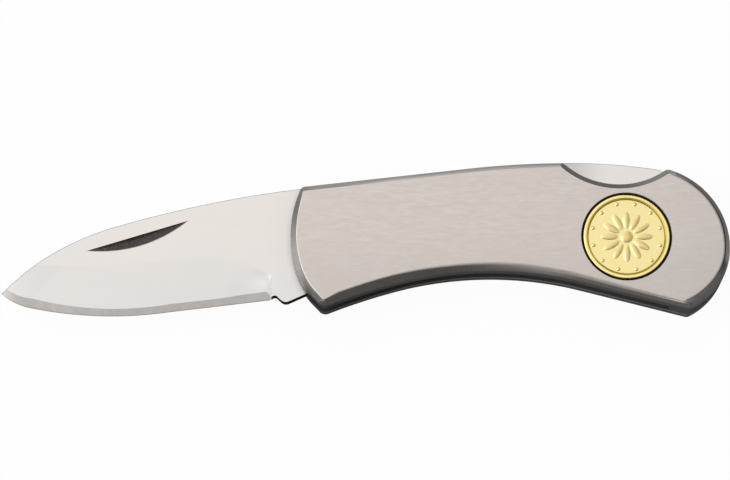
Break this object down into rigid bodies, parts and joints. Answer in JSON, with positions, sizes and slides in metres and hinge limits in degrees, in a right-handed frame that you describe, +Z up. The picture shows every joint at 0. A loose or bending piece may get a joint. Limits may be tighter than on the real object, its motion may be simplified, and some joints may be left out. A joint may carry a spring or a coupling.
{
  "type": "folding pocket knife",
  "caption": "Slim folding pocket knife with a drop-point blade, nail nick, back lock pressed in a thumb notch, bevelled steel handle sides and a round gilt medallion.",
  "frame": {"origin": "on the rear scale's outer face, below the axis that the blade turns on", "axes": "+X from the blade pivot towards the butt, +Y towards the back of the handle and the blade's spine, +Z up through the thickness, out of the side with the medallion"},
  "size_m": [0.1259, 0.0273, 0.0084],
  "materials": {
    "scale_steel": "fine brushed along the handle",
    "liner_steel": "satin",
    "blade_steel": "polished satin",
    "lock_steel": "satin",
    "spring_steel": "blued spring temper",
    "pin_steel": "turned",
    "bronze": "bearing bronze",
    "gilt": "polished gilt",
    "pad_black": "matte"
  },
  "bodies": {
    "handle": {"front_scale": "scale_steel", "rear_scale": "scale_steel", "front_liner": "liner_steel", "rear_liner": "liner_steel", "back_spacer": "lock_steel", "lock_spring": "spring_steel", "blade_pivot_pin": "pin_steel", "pivot_bushing": "bronze", "front_washer": "bronze", "rear_washer": "bronze", "lock_bar_pin": "pin_steel", "upper_spacer_pin": "pin_steel", "lower_spacer_pin": "pin_steel", "spring_pin": "pin_steel", "front_scale_studs": "pin_steel", "rear_scale_studs": "pin_steel", "medallion": "gilt", "medallion_pad": "pad_black"},
    "blade": {"blade": "blade_steel"},
    "lock_bar": {"lock_bar": "lock_steel"}
  },
  "joints": [
    {"name": "blade_fold", "type": "hinge", "parent": "handle", "child": "blade", "pos_m": [0, 0, 0.0042], "axis": [0, 0, 1], "range_deg": [0, 171]},
    {"name": "lock_press", "type": "hinge", "parent": "handle", "child": "lock_bar", "pos_m": [0.031, 0.0113, 0.0042], "axis": [0, 0, -1], "range_deg": [-1.6, 3], "stiffness_Nm_per_rad": 0.5, "springref_deg": -1.6, "deforming": ["lock_spring"]}
  ]
}
